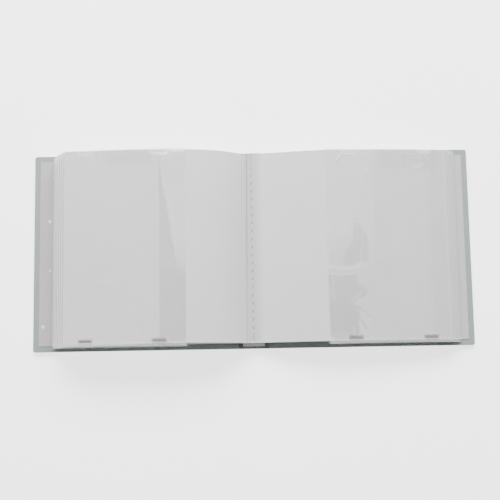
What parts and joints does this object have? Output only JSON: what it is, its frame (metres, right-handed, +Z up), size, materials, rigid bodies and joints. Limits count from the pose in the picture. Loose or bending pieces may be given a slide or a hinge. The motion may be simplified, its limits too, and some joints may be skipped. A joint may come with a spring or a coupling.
{
  "type": "photo album",
  "caption": "Small book-bound photo album with a wrapped hard case, white card leaves with clear film pockets and memo strips, lying open.",
  "frame": {"origin": "middle of the spine on the table the open album lies on", "axes": "+X across the pages to the right, +Y up the page to the head, +Z up from the table"},
  "size_m": [0.38, 0.172, 0.0361],
  "materials": {
    "cloth": "pale mint book cloth, matt with a slight sheen",
    "board": "grey board",
    "endpaper": "smooth paper printed with small pale dots",
    "leaf": "matt white card",
    "film": "clear soft polypropylene film",
    "liner": "white crepe paper lining",
    "thread": "white cotton sewing thread"
  },
  "bodies": {
    "spine": {"spine_board": "board", "spine_cloth": "cloth", "back_liner": "liner", "sewing_thread": "thread", "joint_cloth_left": "cloth", "bound_margins_left": "leaf", "joint_cloth_right": "cloth", "bound_margins_right": "leaf"},
    "left_cover": {"cover_board_left": "board", "cover_cloth_left": "cloth", "endpaper_left": "endpaper"},
    "leaf_left_1": {"leaf_left_1": "leaf"},
    "leaf_left_2": {"leaf_left_2": "leaf"},
    "leaf_left_3": {"leaf_left_3": "leaf"},
    "leaf_left_4": {"leaf_left_4": "leaf"},
    "leaf_left_5": {"leaf_left_5": "leaf"},
    "leaf_left_6": {"leaf_left_6": "leaf"},
    "leaf_left_7": {"leaf_left_7": "leaf"},
    "leaf_left_8": {"leaf_left_8": "leaf", "photo_pocket_left": "film"},
    "right_cover": {"cover_board_right": "board", "cover_cloth_right": "cloth", "endpaper_right": "endpaper"},
    "leaf_right_1": {"leaf_right_1": "leaf"},
    "leaf_right_2": {"leaf_right_2": "leaf"},
    "leaf_right_3": {"leaf_right_3": "leaf"},
    "leaf_right_4": {"leaf_right_4": "leaf"},
    "leaf_right_5": {"leaf_right_5": "leaf"},
    "leaf_right_6": {"leaf_right_6": "leaf"},
    "leaf_right_7": {"leaf_right_7": "leaf"},
    "leaf_right_8": {"leaf_right_8": "leaf", "photo_pocket_right": "film"}
  },
  "joints": [
    {"name": "left_cover_hinge", "type": "hinge", "parent": "spine", "child": "left_cover", "pos_m": [-0.0123, 0, 0.0019], "axis": [0, 1, 0], "range_deg": [0, 90], "deforming": ["joint_cloth_left", "bound_margins_left"]},
    {"name": "leaf_left_1_hinge", "type": "hinge", "parent": "spine", "child": "leaf_left_1", "pos_m": [-0.0094, 0, 0.0048], "axis": [0, 1, 0], "range_deg": [0, 90.01]},
    {"name": "leaf_left_2_hinge", "type": "hinge", "parent": "spine", "child": "leaf_left_2", "pos_m": [-0.01052, 0, 0.00713], "axis": [0, 1, 0], "range_deg": [0, 90.19]},
    {"name": "leaf_left_3_hinge", "type": "hinge", "parent": "spine", "child": "leaf_left_3", "pos_m": [-0.01149, 0, 0.00962], "axis": [0, 1, 0], "range_deg": [0, 90.36]},
    {"name": "leaf_left_4_hinge", "type": "hinge", "parent": "spine", "child": "leaf_left_4", "pos_m": [-0.01232, 0, 0.01224], "axis": [0, 1, 0], "range_deg": [0, 90.55]},
    {"name": "leaf_left_5_hinge", "type": "hinge", "parent": "spine", "child": "leaf_left_5", "pos_m": [-0.01301, 0, 0.015], "axis": [0, 1, 0], "range_deg": [0, 90.74]},
    {"name": "leaf_left_6_hinge", "type": "hinge", "parent": "spine", "child": "leaf_left_6", "pos_m": [-0.01358, 0, 0.01789], "axis": [0, 1, 0], "range_deg": [0, 90.95]},
    {"name": "leaf_left_7_hinge", "type": "hinge", "parent": "spine", "child": "leaf_left_7", "pos_m": [-0.01402, 0, 0.02091], "axis": [0, 1, 0], "range_deg": [0, 91.16]},
    {"name": "leaf_left_8_hinge", "type": "hinge", "parent": "spine", "child": "leaf_left_8", "pos_m": [-0.01434, 0, 0.02406], "axis": [0, 1, 0], "range_deg": [0, 91.39]},
    {"name": "right_cover_hinge", "type": "hinge", "parent": "spine", "child": "right_cover", "pos_m": [0.0123, 0, 0.0019], "axis": [0, -1, 0], "range_deg": [0, 90], "deforming": ["joint_cloth_right", "bound_margins_right"]},
    {"name": "leaf_right_1_hinge", "type": "hinge", "parent": "spine", "child": "leaf_right_1", "pos_m": [0.0094, 0, 0.0048], "axis": [0, -1, 0], "range_deg": [0, 90.01]},
    {"name": "leaf_right_2_hinge", "type": "hinge", "parent": "spine", "child": "leaf_right_2", "pos_m": [0.00998, 0, 0.00649], "axis": [0, -1, 0], "range_deg": [0, 90.65]},
    {"name": "leaf_right_3_hinge", "type": "hinge", "parent": "spine", "child": "leaf_right_3", "pos_m": [0.01052, 0, 0.00822], "axis": [0, -1, 0], "range_deg": [0, 91.31]},
    {"name": "leaf_right_4_hinge", "type": "hinge", "parent": "spine", "child": "leaf_right_4", "pos_m": [0.01102, 0, 0.01], "axis": [0, -1, 0], "range_deg": [0, 91.98]},
    {"name": "leaf_right_5_hinge", "type": "hinge", "parent": "spine", "child": "leaf_right_5", "pos_m": [0.01147, 0, 0.01182], "axis": [0, -1, 0], "range_deg": [0, 92.67]},
    {"name": "leaf_right_6_hinge", "type": "hinge", "parent": "spine", "child": "leaf_right_6", "pos_m": [0.01189, 0, 0.01368], "axis": [0, -1, 0], "range_deg": [0, 93.38]},
    {"name": "leaf_right_7_hinge", "type": "hinge", "parent": "spine", "child": "leaf_right_7", "pos_m": [0.01228, 0, 0.01558], "axis": [0, -1, 0], "range_deg": [0, 94.1]},
    {"name": "leaf_right_8_hinge", "type": "hinge", "parent": "spine", "child": "leaf_right_8", "pos_m": [0.01262, 0, 0.01754], "axis": [0, -1, 0], "range_deg": [0, 94.85]}
  ],
  "couplings": [
    {"joint": "leaf_left_1_hinge", "follows": "left_cover_hinge", "ratio": 1},
    {"joint": "leaf_left_2_hinge", "follows": "left_cover_hinge", "ratio": 1.0019},
    {"joint": "leaf_left_3_hinge", "follows": "left_cover_hinge", "ratio": 1.0039},
    {"joint": "leaf_left_4_hinge", "follows": "left_cover_hinge", "ratio": 1.006},
    {"joint": "leaf_left_5_hinge", "follows": "left_cover_hinge", "ratio": 1.0082},
    {"joint": "leaf_left_6_hinge", "follows": "left_cover_hinge", "ratio": 1.0104},
    {"joint": "leaf_left_7_hinge", "follows": "left_cover_hinge", "ratio": 1.0128},
    {"joint": "leaf_left_8_hinge", "follows": "left_cover_hinge", "ratio": 1.0153},
    {"joint": "leaf_right_1_hinge", "follows": "right_cover_hinge", "ratio": 1},
    {"joint": "leaf_right_2_hinge", "follows": "right_cover_hinge", "ratio": 1.0071},
    {"joint": "leaf_right_3_hinge", "follows": "right_cover_hinge", "ratio": 1.0144},
    {"joint": "leaf_right_4_hinge", "follows": "right_cover_hinge", "ratio": 1.0219},
    {"joint": "leaf_right_5_hinge", "follows": "right_cover_hinge", "ratio": 1.0296},
    {"joint": "leaf_right_6_hinge", "follows": "right_cover_hinge", "ratio": 1.0374},
    {"joint": "leaf_right_7_hinge", "follows": "right_cover_hinge", "ratio": 1.0455},
    {"joint": "leaf_right_8_hinge", "follows": "right_cover_hinge", "ratio": 1.0538}
  ]
}
